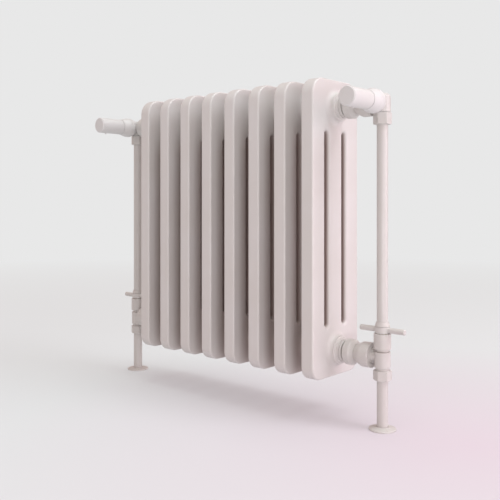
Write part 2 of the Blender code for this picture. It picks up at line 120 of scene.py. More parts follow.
# Fittings, in millimetres
PIPE_R = 11.0
PIPE_BORE_R = 9.5
PIPE_END = 16.8
SOCKET_R = 11.3
WATERWAY_R = 8.0
THREAD_R = 13.2
NECK_R = 12.5
BRANCH_R = 10.5
BODY_R = 16.0
MALE_END_R = 16.2
MALE_END = 45.5
NUT_FACE = 67.0
NUT_FLAT = 16.0
NUT_CORNER_R = 18.15
UNION_LENGTH = (RISER_X - END_PLANE) / MM
CAP_R = 19.0
CAP_WALL = 2.5
CAPSULE_R = 12.5
CAPSULE_WALL = 1.2
CAPSULE_END = 97.0
HEAD_FRONT = (HUB_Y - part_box("right_thermostatic_cap")[0].y) / MM
BASE_FRONT = (HUB_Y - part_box("right_head_base")[0].y) / MM
BAR_HALF_LENGTH = 50.0
WELD_CELL = 0.55
WELD_PASSES = 6


# ---------------------------------------------------------------- meshes

def to_mesh(bm, name):
    """Mesh of a bmesh, with its faces out."""
    bmesh.ops.recalc_face_normals(bm, faces=bm.faces)
    mesh = bpy.data.meshes.new(name)
    bm.to_mesh(mesh)
    bm.free()
    return mesh


def rounded(corners, closed):
    """Points of a (x, y[, fillet]) outline whose filleted corners are short parabolic arcs."""
    points = []
    for place, (x, y, *fillet) in enumerate(corners):
        here = Vector((x, y))
        at_end = not closed and place in (0, len(corners) - 1)
        if not fillet or at_end:
            points.append(here)
            continue
        before = Vector(corners[place - 1][:2]) - here
        after = Vector(corners[(place + 1) % len(corners)][:2]) - here
        reach = fillet[0] / math.tan(before.angle(after) / 2)
        start = here + before.normalized() * min(reach, 0.47 * before.length)
        end = here + after.normalized() * min(reach, 0.47 * after.length)
        for step in range(FILLET_STEPS + 1):
            t = step / FILLET_STEPS
            points.append(start * (1 - t) ** 2 + here * 2 * t * (1 - t) + end * t ** 2)
    return points


def hexagon(radius, angle):
    """Radius of a hexagon nut at an angle: its flat, or the round of its turned corners."""
    off_flat = (angle + math.pi / 6) % (math.pi / 3) - math.pi / 6
    return min(radius, NUT_FLAT / math.cos(off_flat))


def join_rings(bm, rings, closed):
    """Faces between neighbouring rings; a ring of one vertex is a pole."""
    segments = max(len(ring) for ring in rings)
    pairs = list(zip(rings, rings[1:]))
    if closed:
        pairs.append((rings[-1], rings[0]))
    for lower, upper in pairs:
        for step in range(segments):
            after = (step + 1) % segments
            corners = [lower[step % len(lower)], lower[after % len(lower)],
                       upper[after % len(upper)], upper[step % len(upper)]]
            bm.faces.new(list(dict.fromkeys(corners)))


def add_turned(bm, corners, matrix=Matrix.Identity(4), shape=None, segments=SEGMENTS):
    """Turn (radius, height[, fillet]) corners, in millimetres, about Z. A tube's corners go round
    its wall; a solid's start and end on the axis."""
    closed = corners[0][0] > 0
    rings = []
    for radius, height in rounded(corners, closed):
        ring = []
        for step in range(segments if radius > 0 else 1):
            angle = 2 * math.pi * step / segments
            reach = shape(radius, angle) if shape else radius
            point = Vector((reach * math.cos(angle), reach * math.sin(angle), height)) * MM
            ring.append(bm.verts.new(matrix @ point))
        rings.append(ring)
    join_rings(bm, rings, closed)


def turned(name, corners, shape=None, segments=SEGMENTS):
    """Mesh of one turned piece."""
    bm = bmesh.new()
    add_turned(bm, corners, shape=shape, segments=segments)
    return to_mesh(bm, name)


def rod(radius, low, high, fillet=0.3):
    """Corners of a solid rod."""
    return [(0, low), (radius, low, fillet), (radius, high, fillet), (0, high)]


def tube(inner, outer, low, high, fillet=0.3):
    """Corners of a tube."""
    return [(inner, low, fillet), (outer, low, fillet), (outer, high, fillet), (inner, high, fillet)]


def with_modifiers(mesh, add):
    """Mesh after the modifiers that add() puts on a temporary object."""
    work = bpy.data.objects.new("work", mesh)
    bpy.context.scene.collection.objects.link(work)
    add(work)
    graph = bpy.context.evaluated_depsgraph_get()
    result = bpy.data.meshes.new_from_object(work.evaluated_get(graph))
    bpy.data.objects.remove(work)
    return result


def fused(name, bodies):
    """One body from overlapping turned bodies, given as (corners, matrix), with soft fillets where
    they meet: joined in small cells and relaxed."""
    bm = bmesh.new()
    for corners, matrix in bodies:
        add_turned(bm, corners, matrix)

    def blend(work):
        cells = work.modifiers.new("cells", "REMESH")
        cells.mode = "VOXEL"
        cells.voxel_size = WELD_CELL * MM
        relax = work.modifiers.new("relax", "SMOOTH")
        relax.factor = 0.5
        relax.iterations = WELD_PASSES

    mesh = with_modifiers(to_mesh(bm, name), blend)
    mesh.name = name
    return mesh


def bored(mesh, bores):
    """Mesh with turned bores, given as (corners, matrix), cut out of it."""
    helpers = []
    for corners, matrix in bores:
        bm = bmesh.new()
        add_turned(bm, corners, matrix)
        helper = bpy.data.objects.new("bore", to_mesh(bm, "bore"))
        bpy.context.scene.collection.objects.link(helper)
        helpers.append(helper)

    def cut(work):
        for helper in helpers:
            step = work.modifiers.new("cut", "BOOLEAN")
            step.operation = "DIFFERENCE"
            step.solver = "EXACT"
            step.object = helper

    result = with_modifiers(mesh, cut)
    for helper in helpers:
        bpy.data.objects.remove(helper)
    result.name = mesh.name
    return result


# ---------------------------------------------------------------- placing

def at(x, y, z, turn=Matrix.Identity(4)):
    """Place and turn of a piece."""
    return Matrix.Translation((x, y, z)) @ turn


def outward(sign):
    """Turn that lays a piece's own Z along X, away from the sections."""
    return Matrix.Rotation(sign * math.pi / 2, 4, "Y")


FORWARD = Matrix.Rotation(math.pi / 2, 4, "X")


def piece(name, mesh, place, body, material, slot, *nodes):
    """Object of a mesh on a CAD body, standing for the CAD nodes named, with soft-edged shading."""
    thing = bpy.data.objects.new(name, mesh)
    bpy.context.scene.collection.objects.link(thing)
    thing.matrix_world = place
    mesh.shade_smooth()
    mesh.set_sharp_from_angle(angle=SHARP_ANGLE)
    shading = thing.modifiers.new("shading", "WEIGHTED_NORMAL")
    shading.keep_sharp = True
    if not mesh.materials:
        mesh.materials.append(material)
    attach(thing, body)
    if nodes:
        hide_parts(*nodes)
    return thing


# ---------------------------------------------------------------- castings

def quarter(centre, radius, start, steps):
    """Points of a quarter circle, anticlockwise."""
    angles = [start + math.pi / 2 * step / steps for step in range(steps + 1)]
    return [(centre[0] + radius * math.cos(a), centre[1] + radius * math.sin(a)) for a in angles]


def section_outline(inset):
    """Side outline of a section in (depth, height), drawn in by inset."""
    half = SECTION_DEPTH / 2
    corners = ((1, SECTION_HIGH.z - TOP_CORNER_R, TOP_CORNER_R, 0.0),
               (-1, SECTION_HIGH.z - TOP_CORNER_R, TOP_CORNER_R, math.pi / 2),
               (-1, SECTION_LOW.z + BOTTOM_CORNER_R, BOTTOM_CORNER_R, math.pi),
               (1, SECTION_LOW.z + BOTTOM_CORNER_R, BOTTOM_CORNER_R, 1.5 * math.pi))
    points = []
    for side, level, radius, start in corners:
        points += quarter((side * (half - radius), level), radius - inset, start, CORNER_STEPS)
    return points


def slot_outline(side, inset):
    """Round-ended slot between two columns, grown by inset."""
    centre = side * SLOT_FROM_MIDDLE
    top = UPPER_HUB_Z - SLOT_END_TO_HUB - SLOT_HALF_WIDTH
    bottom = LOWER_HUB_Z + SLOT_END_TO_HUB + SLOT_HALF_WIDTH
    points = []
    for level, start in ((top, 0.0), (top, math.pi / 2), (bottom, math.pi), (bottom, 1.5 * math.pi)):
        arc = quarter((centre, level), SLOT_HALF_WIDTH + inset, start, SLOT_STEPS)
        points += arc[:-1] if start in (0.0, math.pi) else arc
    return points


def rim_inset(radius, depth):
    """How far a round rim draws in at a depth below the side face."""
    return radius - math.sqrt(radius ** 2 - max(radius - depth, 0.0) ** 2)


def rim_depths():
    """Depths below the side face, closer together near it, that shape every rim."""
    angles = [math.pi / 2 * step / RIM_STEPS for step in range(RIM_STEPS + 1)]
    return [SLOT_EASE * (1 - math.cos(angle)) for angle in angles]


def hub_side():
    """(radius, distance) points of one side of a hub: a flare out of the side face, the boss, its
    rounded rim, the narrower nose and the joint face."""
    face = (PITCH - JOINT_GAP) / 2
    half = COLUMN_WIDTH / 2
    points = []
    for step in range(FLARE_STEPS + 1):
        angle = math.pi / 2 * step / FLARE_STEPS
        points.append((BOSS_R + (FLARE_R - BOSS_R) * (1 - math.sin(angle)),
                       half + FLARE_HEIGHT * (1 - math.cos(angle))))
    corners = [(BOSS_R, half + FLARE_HEIGHT), (BOSS_R, BOSS_FACE, 0.0014),
               (NOSE_R, BOSS_FACE + 0.001, 0.0012), (NOSE_R, face, 0.0006),
               (HUB_BORE_R, face, 0.0006), (HUB_BORE_R, 0.0)]
    return points + [tuple(point) for point in rounded(corners, False)[1:]]


def add_slab(bm):
    """Slotted slab of a casting, as its side loops from one face to the other."""
    layers = []
    depths = rim_depths()
    levels = [(depth - COLUMN_WIDTH / 2, depth) for depth in depths]
    levels += [(COLUMN_WIDTH / 2 - depth, depth) for depth in reversed(depths)]
    for level, depth in levels:
        fillet = rim_inset(COLUMN_FILLET, depth)
        ease = rim_inset(SLOT_EASE, depth)
        loops = [section_outline(fillet), slot_outline(-1, ease), slot_outline(1, ease)]
        layers.append([[bm.verts.new((level, y, z)) for y, z in loop] for loop in loops])
    for lower, upper in zip(layers, layers[1:]):
        for low_loop, high_loop in zip(lower, upper):
            join_rings(bm, [low_loop, high_loop], False)
    return layers


def add_hub(bm, height):
    """Through-bored hub of a casting, as its rings from one flare to the other."""
    side = hub_side()[:-1]
    profile = side + [(HUB_BORE_R, 0.0)] + [(radius, -level) for radius, level in reversed(side)]
    angles = [2 * math.pi * step / SEGMENTS for step in range(SEGMENTS)]
    rings = []
    for radius, level in profile:
        circle = [(radius * math.cos(angle), height + radius * math.sin(angle)) for angle in angles]
        rings.append([bm.verts.new((level, y, z)) for y, z in circle])
    join_rings(bm, rings, False)
    return rings


def section_mesh():
    """Casting: a slotted slab with filleted rims, and two through-bored hubs flared out of it."""
    bm = bmesh.new()
    layers = add_slab(bm)
    hubs = [add_hub(bm, height) for height in (LOWER_HUB_Z, UPPER_HUB_Z)]
    sides = ((layers[0], [rings[-1] for rings in hubs]), (layers[-1], [rings[0] for rings in hubs]))
    for layer, flares in sides:
        edges = []
        for loop in layer + flares:
            edges += [bm.edges.get((a, b)) for a, b in zip(loop, loop[1:] + loop[:1])]
        bmesh.ops.triangle_fill(bm, use_beauty=True, use_dissolve=False, edges=edges)
    return to_mesh(bm, "casting")


def build_sections(enamel, steel):
    """Castings, with the nipples and gaskets of their joints."""
    casting = section_mesh()
    gasket = turned("gasket", tube(20.6, 22.6, -0.5, 0.5, 0.2))
    nipple = turned("nipple", tube(16.5, 19.7, -18, 18, 0.5))
    for number in range(1, SECTION_COUNT + 1):
        x = (number - (SECTION_COUNT + 1) / 2) * PITCH
        node = f"section_{number}"
        piece(node + "_casting", casting, at(x, HUB_Y, 0), "radiator", enamel, "white_enamel", node)
    for level, height in (("bottom", LOWER_HUB_Z), ("top", UPPER_HUB_Z)):
        for joint in range(SECTION_COUNT + 1):
            place = at(joint * PITCH - END_PLANE, HUB_Y, height, outward(1))
            piece(f"{level}_gasket_{joint}", gasket, place, "radiator", enamel, "white_enamel")
            if 0 < joint < SECTION_COUNT:
                piece(f"{level}_nipple_{joint}", nipple, place, "radiator", steel, "steel")


# ---------------------------------------------------------------- unions and risers

def build_unions(paint):
    """Bush, tail and union nut at each end hub, turned about the hub's axis from the joint's plane."""
    bush = [(10.5, -18), (19.7, -18, 1.0), (19.7, 0.8), (23, 0.8, 0.4), (23, 5.5, 1.2), (10.5, 5.5)]
    tail = [(WATERWAY_R, -15), (10.2, -15), (10.2, 5.8), (17.5, 5.8), (17.5, 9.7, 1.0), (26.2, 10.0, 1.6),
            (26.2, 23.5, 4.0), (18, 31.0), (NECK_R, 31.0), (NECK_R, 40.3), (16, 40.3), (16, 45.2),
            (WATERWAY_R, 45.2)]
    nut = [(12.8, 31.3), (18, 31.3, 0.8), (25, 47, 6.0), (25, NUT_FACE, 1.4), (16.5, NUT_FACE, 0.4),
           (16.5, 40.0), (12.8, 40.0)]
    profiles = (("bush", bush), ("tail", tail), ("union_nut", nut))
    meshes = {part: turned(part, profile) for part, profile in profiles}
    for side, sign in SIDES:
        for level, height in (("top", UPPER_HUB_Z), ("bottom", LOWER_HUB_Z)):
            for part, mesh in meshes.items():
                node = f"{side}_{level}_{part}"
                place = at(sign * END_PLANE, HUB_Y, height, outward(sign))
                piece(node + "_turned", mesh, place, "radiator", paint, "white_fitting", node)


def branch(direction):
    """Side branch of a riser fitting and its male end inside the union nut."""
    face = UNION_LENGTH - NUT_FACE - 0.3
    male = UNION_LENGTH - MALE_END
    corners = [(0, 0), (BRANCH_R, 0), (BRANCH_R, face - 1), (MALE_END_R, face, 0.4), (MALE_END_R, male),
               (0, male)]
    return corners, direction


def hexagon_nut(name, height):
    """Hexagon compression nut with turned chamfers and a lip round the pipe."""
    chamfer = 1.3
    edge = 15.6
    corners = [(SOCKET_R, 0), (edge, 0, 0.2)]
    for step in range(1, 7):
        part = step / 6
        corners.append((edge + (NUT_CORNER_R - edge) * part, chamfer * part))
    corners += [(radius, height - level) for radius, level, *fillet in corners[:1:-1]]
    corners += [(edge, height, 0.2), (THREAD_R + 0.3, height, 0.3), (THREAD_R + 0.3, 5.0), (SOCKET_R, 5.0)]

    def outside(radius, angle):
        return hexagon(radius, angle) if radius >= edge else radius

    return turned(name, corners, shape=outside, segments=HEXAGON_SEGMENTS)


def tee_mesh():
    """Riser tee with its branch along its own -X."""
    inward = outward(-1)
    trunk = [(0, -36), (THREAD_R, -36, 0.4), (THREAD_R, -20.5), (BODY_R, -20.5, 0.9), (BODY_R, 10.8, 0.9),
             (0, 10.8)]
    bore = [(0, -40), (SOCKET_R, -40), (SOCKET_R, -16.5), (WATERWAY_R, -16.5), (WATERWAY_R, 0),
            (BRANCH_R, 0), (BRANCH_R, 14), (0, 14)]
    solid = fused("tee", [(trunk, Matrix.Identity(4)), branch(inward)])
    return bored(solid, [(rod(WATERWAY_R, 0, UNION_LENGTH, 0.1), inward), (bore, Matrix.Identity(4))])


def build_risers(paint, brass):
    """Floor flange, pipes, nuts, olives and tee of each riser."""
    flange = [(SOCKET_R, 0), (27, 0, 0.5), (27, 3.0, 1.6), (14.5, 6.5, 1.8), (SOCKET_R, 6.5, 0.4)]
    lower_pipe = tube(PIPE_BORE_R, PIPE_R, 0.5, LOWER_HUB_Z / MM - PIPE_END)
    upper_pipe = tube(PIPE_BORE_R, PIPE_R, 172, UPPER_HUB_Z / MM - PIPE_END)
    olive = turned("olive", [(SOCKET_R, 0), (THREAD_R - 0.3, 1.7, 1.0), (SOCKET_R, 3.4)])
    straight = [("floor_flange", turned("flange", flange), 0),
                ("lower_pipe", turned("lower_pipe", lower_pipe), 0),
                ("upper_pipe", turned("upper_pipe", upper_pipe), 0)]
    lower_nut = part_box("right_lower_pipe_nut")
    upper_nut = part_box("right_upper_pipe_nut")
    for level, (low, high) in (("lower", lower_nut), ("upper", upper_nut)):
        nut = hexagon_nut(f"{level}_nut", (high.z - low.z) / MM)
        straight.append((f"{level}_pipe_nut", nut, low.z))
    tee = tee_mesh()
    for side, sign in SIDES:
        for part, mesh, height in straight:
            node = f"{side}_{part}"
            place = at(sign * RISER_X, HUB_Y, height)
            piece(node + "_turned", mesh, place, "radiator", paint, "white_fitting", node)
        for level in ("lower", "upper"):
            node = f"{side}_{level}_olive"
            place = at(sign * RISER_X, HUB_Y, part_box(node)[0].z)
            piece(node + "_turned", olive, place, "radiator", brass, "brass", node)
        turn = Matrix.Rotation(0 if sign > 0 else math.pi, 4, "Z")
        piece(f"{side}_tee_body", tee, at(sign * RISER_X, HUB_Y, LOWER_HUB_Z, turn), "radiator", paint,
              "white_fitting", f"{side}_tee")


# ---------------------------------------------------------------- isolating valves

def ports(low, high):
    """Two port cutters across a disc."""
    return [(rod(3.5, low, high, 0.1), Matrix.Translation((way * 6.2 * MM, 0, 0))) for way in (-1, 1)]


def build_isolating_valves(paint, brass):
    """Valve body and cap, and the turning bar with its ported disc."""
    body = [(0, 162), (WATERWAY_R, 162), (WATERWAY_R, 143.5), (10.2, 143.5), (10.2, 153.9), (NECK_R, 153.9),
            (NECK_R, 158.5, 0.5), (17, 158.5, 1.4), (17, 189.5, 1.2), (13.7, 189.5, 0.3), (13.7, 166.2),
            (0, 166.2)]
    cap = [(SOCKET_R, 203.3, 0.2), (14.8, 203.3, 0.5), (12.2, 212, 0.6), (SOCKET_R, 212, 0.2)]
    disc_low = 166.5 - BAR_Z / MM
    sleeve_top = 189.6 - BAR_Z / MM
    cup = [(0, disc_low), (12.8, disc_low, 0.3), (12.8, sleeve_top, 0.2), (11.8, sleeve_top),
           (11.8, disc_low + 4), (0, disc_low + 4)]
    collar_low = 190.0 - BAR_Z / MM
    collar_high = 6.5
    collar = [(0, collar_low), (15, collar_low, 0.7), (15, collar_high, 0.7), (0, collar_high)]
    spokes = [(rod(5.5, 0, BAR_HALF_LENGTH, 1.6), outward(way)) for way in (-1, 1)]
    bar = bored(fused("bar", [(collar, Matrix.Identity(4))] + spokes),
                [(rod(11.8, collar_low - 2, collar_high + 2), Matrix.Identity(4))])
    body_mesh = bored(turned("isolating_body", body), ports(160, 168))
    disc = bored(turned("disc", cup), ports(disc_low - 2, disc_low + 6))
    cap_mesh = turned("valve_cap", cap)
    for side, sign in SIDES:
        x = sign * RISER_X
        piece(f"{side}_isolating_body_turned", body_mesh, at(x, HUB_Y, 0), "radiator", paint, "white_fitting",
              f"{side}_isolating_body")
        piece(f"{side}_valve_cap_turned", cap_mesh, at(x, HUB_Y, 0), "radiator", paint, "white_fitting",
              f"{side}_valve_cap")
        piece(f"{side}_tee_bar_cast", bar, at(x, HUB_Y, BAR_Z), f"{side}_bar", paint, "white_fitting",
              f"{side}_tee_bar")
        piece(f"{side}_rotor_turned", disc, at(x, HUB_Y, BAR_Z), f"{side}_bar", brass, "brass",
              f"{side}_valve_rotor")


# ---------------------------------------------------------------- thermostatic valves

def top_body_mesh(sign):
    """Corner valve body: pipe from below, branch to the radiator, bonnet forward."""
    upright = Matrix.Identity(4)
    inward = outward(-sign)
    trunk = [(0, -33.5), (THREAD_R, -33.5, 0.4), (THREAD_R, -19), (BODY_R, -19, 1.0), (BODY_R, 12.5, 3.0),
             (10, 18.5, 2.0), (0, 18.5)]
    bore = [(0, -36), (SOCKET_R, -36), (SOCKET_R, -16.5), (WATERWAY_R, -16.5), (WATERWAY_R, 10), (0, 10)]
    solid = fused("top_body", [(trunk, upright), (rod(12, 0, 28, 0.5), FORWARD), branch(inward)])
    return bored(solid, [(rod(WATERWAY_R, 0, UNION_LENGTH, 0.1), inward), (rod(6.2, 0, 32, 0.1), FORWARD),
                         (bore, upright)])


def spring_mesh():
    """Coil of round wire with flat capped ends."""
    coil_r = 4.3
    wire_r = 0.6
    low = 7.5
    height = 11.2
    turns = 4
    steps = turns * 24
    sides = 8
    bm = bmesh.new()
    rings = []
    for step in range(steps + 1):
        angle = 2 * math.pi * turns * step / steps
        rise = low + height * step / steps
        ring = []
        for corner in range(sides):
            around = 2 * math.pi * corner / sides
            reach = coil_r + wire_r * math.cos(around)
            level = rise + wire_r * math.sin(around)
            point = Vector((reach * math.cos(angle), reach * math.sin(angle), level))
            ring.append(bm.verts.new(point * MM))
        rings.append(ring)
    join_rings(bm, rings, False)
    bm.faces.new(rings[0])
    bm.faces.new(rings[-1])
    return to_mesh(bm, "spring")


def cap_mesh():
    """Turning cap: a cup with a chamfered front rim."""
    inside = CAP_R - CAP_WALL
    back = BASE_FRONT + 0.6
    front = HEAD_FRONT - CAP_WALL
    cup = [(0, front), (inside, front, 0.5), (inside, back, 0.3), (CAP_R, back, 0.7),
           (CAP_R, HEAD_FRONT - 2, 0.8), (CAP_R - 2, HEAD_FRONT, 0.5), (0, HEAD_FRONT)]
    return turned("cap", cup)


def capsule_mesh():
    """Sensor can, open at the front, with its closed end on the spindle."""
    inside = CAPSULE_R - CAPSULE_WALL
    corners = [(0, 34.8), (6, 34.8, 0.5), (CAPSULE_R, 40, 1.0), (CAPSULE_R, CAPSULE_END, 0.4),
               (inside, CAPSULE_END, 0.4), (inside, 40.8, 0.8), (5.6, 36.1), (0, 36.1)]
    return turned("capsule", corners)


def build_thermostatic_valves(paint, plastic, metals, rubber):
    """Valve body, head and moving spindle group at the top of each riser."""
    brass, steel, aluminium = metals
    base = [(16.5, 16.5, 0.4), (20.7, 21.2, 1.0), (21.6, 24.6, 3.0), (24.3, 31, 8.0), (24.1, 41, 8.0),
            (20, 55.5, 4.0), (19.5, BASE_FRONT, 0.5), (17.5, BASE_FRONT, 0.3), (21.2, 38), (16.5, 18.7),
            (12.7, 18.4), (12.7, 16.5)]
    ring = [(12.3, 19.2), (13.8, 19.2, 0.4), (13.8, 27.2, 0.4), (12.3, 27.2)]
    spindle = [(0, 0.3), (5.5, 0.3, 0.3), (5.5, 2.8, 0.3), (2.5, 2.8, 0.2), (2.5, 34.5, 0.6), (0, 34.5)]
    fixed = (("head_base", turned("base", base), plastic, "head_plastic"),
             ("head_ring_nut", turned("ring_nut", ring), brass, "brass"),
             ("return_spring", spring_mesh(), steel, "steel"),
             ("spindle_gland", turned("gland", tube(3.1, 5.9, 20.5, 27.7, 0.4)), rubber, "seal_rubber"))
    moving = (("head", "thermostatic_cap", cap_mesh(), plastic, "head_plastic"),
              ("spindle", "valve_spindle", turned("spindle", spindle, segments=32), steel, "steel"),
              ("spindle", "sensor_capsule", capsule_mesh(), aluminium, "aluminium"))
    pin = turned("setting_pin", rod(2.0, CAP_R - 0.6, CAP_R + 2.5, 0.6), segments=24)
    for side, sign in SIDES:
        spot = (sign * RISER_X, HUB_Y, UPPER_HUB_Z)
        piece(f"{side}_top_body_cast", top_body_mesh(sign), at(*spot), "radiator", paint, "white_fitting",
              f"{side}_top_valve_body")
        for part, mesh, material, slot in fixed:
            node = f"{side}_{part}"
            piece(node + "_fine", mesh, at(*spot, FORWARD), "radiator", material, slot, node)
        for group, part, mesh, material, slot in moving:
            node = f"{side}_{part}"
            piece(node + "_fine", mesh, at(*spot, FORWARD), f"{side}_{group}", material, slot, node)
        place = at(spot[0], HUB_Y - (HEAD_FRONT - 20) * MM, UPPER_HUB_Z, Matrix.Rotation(math.pi, 4, "X"))
        piece(f"{side}_setting_pin", pin, place, f"{side}_head", plastic, "head_plastic")


# ---------------------------------------------------------------- finishes

# Base colours
ENAMEL = (0.620, 0.600, 0.586)
FITTING_PAINT = (0.565, 0.550, 0.530)
PLASTIC = (0.620, 0.612, 0.606)
BRASS = (0.72, 0.55, 0.28)
STEEL = (0.55, 0.55, 0.56)
ALUMINIUM = (0.78, 0.78, 0.79)
RUBBER = (0.018, 0.018, 0.019)
RUBBER_BLOOM = (0.05, 0.05, 0.052)

# Painted shade on the castings, deep in the slots and between sections: factors of their colour, and reaches
# and fades in metres
UNCHANGED = (1.0, 1.0, 1.0)
SLOT_PAINTED_SHADE = (0.74, 0.66, 0.64)
GAP_PAINTED_SHADE = (0.66, 0.59, 0.57)
PAINTED_SHADE_START = 0.002
SLOT_SPREAD = 0.011
SLOT_EDGE = 0.002
SLOT_FADE = 0.008
GAP_DROP = 0.06
GAP_HALF_HEIGHT = 0.29
GAP_HEIGHT_FADE = 0.06
GAP_START = 0.014
GAP_FADE = 0.028
ROW_END_FADE = 0.006


class Nodes:
    """Small helper that adds and joins the nodes of one material."""

    def __init__(self, name):
        self.material = bpy.data.materials.new(name)
        self.material.use_nodes = True
        self.tree = self.material.node_tree
        self.shader = self.tree.nodes["Principled BSDF"]

    def add(self, kind, **values):
        node = self.tree.nodes.new(kind)
        for key, value in values.items():
            if key in node.inputs:
                node.inputs[key].default_value = value
            else:
                setattr(node, key, value)
        return node

    def join(self, source, target):
        self.tree.links.new(source, target)

    def object_noise(self, scale, detail=3.0, roughness=0.5):
        """Noise in the piece's own coordinates, shifted for each piece so that no two look alike."""
        coords = self.add("ShaderNodeTexCoord")
        info = self.add("ShaderNodeObjectInfo")
        shift = self.add("ShaderNodeVectorMath", operation="MULTIPLY_ADD")
        self.join(info.outputs["Random"], shift.inputs[0])
        shift.inputs[1].default_value = (7.0, 3.0, 5.0)
        self.join(coords.outputs["Object"], shift.inputs[2])
        noise = self.add("ShaderNodeTexNoise", Scale=scale, Detail=detail, Roughness=roughness)
        self.join(shift.outputs["Vector"], noise.inputs["Vector"])
        return noise.outputs["Fac"]

    def ball(self, centre, radius):
        """Soft ball that falls from 1 at its centre to 0 at its radius."""
        coords = self.add("ShaderNodeTexCoord")
        local = self.add("ShaderNodeMapping", vector_type="TEXTURE", Location=centre, Scale=(radius,) * 3)
        self.join(coords.outputs["Object"], local.inputs["Vector"])
        gradient = self.add("ShaderNodeTexGradient", gradient_type="SPHERICAL")
        self.join(local.outputs["Vector"], gradient.inputs["Vector"])
        return gradient.outputs["Fac"]

    def ramp(self, factor, low, high, first, last):
        """Colour ramp from first at low to last at high."""
        node = self.add("ShaderNodeValToRGB")
        node.color_ramp.elements[0].position = low
        node.color_ramp.elements[0].color = (*first, 1.0)
        node.color_ramp.elements[1].position = high
        node.color_ramp.elements[1].color = (*last, 1.0)
        self.join(factor, node.inputs["Fac"])
        return node.outputs["Color"]

    def spread(self, factor, low, high):
        """Factor of about 0.3 to 0.7 spread over low to high."""
        node = self.add("ShaderNodeMapRange")
        node.inputs["From Min"].default_value = 0.3
        node.inputs["From Max"].default_value = 0.7
        node.inputs["To Min"].default_value = low
        node.inputs["To Max"].default_value = high
        self.join(factor, node.inputs["Value"])
        return node.outputs["Result"]

    def math(self, operation, first, second=0.0):
        """Result of one operation on two outputs or numbers."""
        node = self.add("ShaderNodeMath", operation=operation)
        for socket, value in zip(node.inputs, (first, second)):
            if isinstance(value, float):
                socket.default_value = value
            else:
                self.join(value, socket)
        return node.outputs["Value"]

    def within(self, value, centre, reach, soft):
        """1 near the centre, falling over a soft edge to 0 at reach."""
        node = self.add("ShaderNodeMapRange")
        node.inputs["From Min"].default_value = reach
        node.inputs["From Max"].default_value = reach - soft
        self.join(self.math("ABSOLUTE", self.math("SUBTRACT", value, centre)), node.inputs["Value"])
        return node.outputs["Result"]

    def mix(self, factor, first, second, kind="MIX"):
        """Colour mix of two outputs or colours."""
        node = self.add("ShaderNodeMix", data_type="RGBA", blend_type=kind)
        for key, value in (("Factor", factor), ("A", first), ("B", second)):
            if isinstance(value, (float, tuple)):
                node.inputs[key].default_value = value
            else:
                self.join(value, node.inputs[key])
        return node.outputs["Result"]

    def bump(self, height, distance, strength=1.0, before=None):
        """Bump of a height output, on top of an earlier bump."""
        node = self.add("ShaderNodeBump", Distance=distance, Strength=strength)
        self.join(height, node.inputs["Height"])
        if before is not None:
            self.join(before, node.inputs["Normal"])
        return node.outputs["Normal"]


def tint(colour, factors):
    """Colour scaled by a factor for each channel."""
    return tuple(channel * part for channel, part in zip(colour, factors))


def product(nodes, factors):
    """Product of several outputs."""
    result = factors[0]
    for factor in factors[1:]:
        result = nodes.math("MULTIPLY", result, factor)
    return result


def axes_of(nodes, vector):
    """X, Y and Z of a vector output."""
    split = nodes.add("ShaderNodeSeparateXYZ")
    nodes.join(vector, split.inputs["Vector"])
    return [split.outputs[axis] for axis in "XYZ"]


def casting_painted_shade(nodes):
    """Colour factor for the castings: painted shade deep in the slots and between sections."""
    x, y, z = axes_of(nodes, nodes.add("ShaderNodeTexCoord").outputs["Object"])
    row_x = axes_of(nodes, nodes.add("ShaderNodeNewGeometry").outputs["Position"])[0]
    middle = (UPPER_HUB_Z + LOWER_HUB_Z) / 2
    half_slot = (UPPER_HUB_Z - LOWER_HUB_Z) / 2 - SLOT_END_TO_HUB
    half_row = (SECTION_COUNT - 1) * PITCH / 2 + COLUMN_WIDTH / 2
    from_middle = nodes.math("ABSOLUTE", y)
    in_slot = product(nodes, (
        nodes.within(z, middle, half_slot + SLOT_SPREAD, SLOT_EDGE),
        nodes.within(from_middle, SLOT_FROM_MIDDLE, SLOT_HALF_WIDTH + SLOT_SPREAD, SLOT_EDGE),
        nodes.within(x, 0.0, COLUMN_WIDTH / 2 - PAINTED_SHADE_START, SLOT_FADE)))
    in_gap = product(nodes, (
        nodes.within(z, middle - GAP_DROP, GAP_HALF_HEIGHT, GAP_HEIGHT_FADE),
        nodes.within(row_x, 0.0, half_row - PAINTED_SHADE_START, ROW_END_FADE),
        nodes.within(y, 0.0, SECTION_DEPTH / 2 - GAP_START, GAP_FADE)))
    # Painted shade: the colour darkens deep in the slots and in the gaps between sections, where shade falls.
    slots = nodes.ramp(in_slot, 0.0, 1.0, UNCHANGED, SLOT_PAINTED_SHADE)
    gaps = nodes.ramp(in_gap, 0.0, 1.0, UNCHANGED, GAP_PAINTED_SHADE)
    return nodes.mix(1.0, slots, gaps, "MULTIPLY")


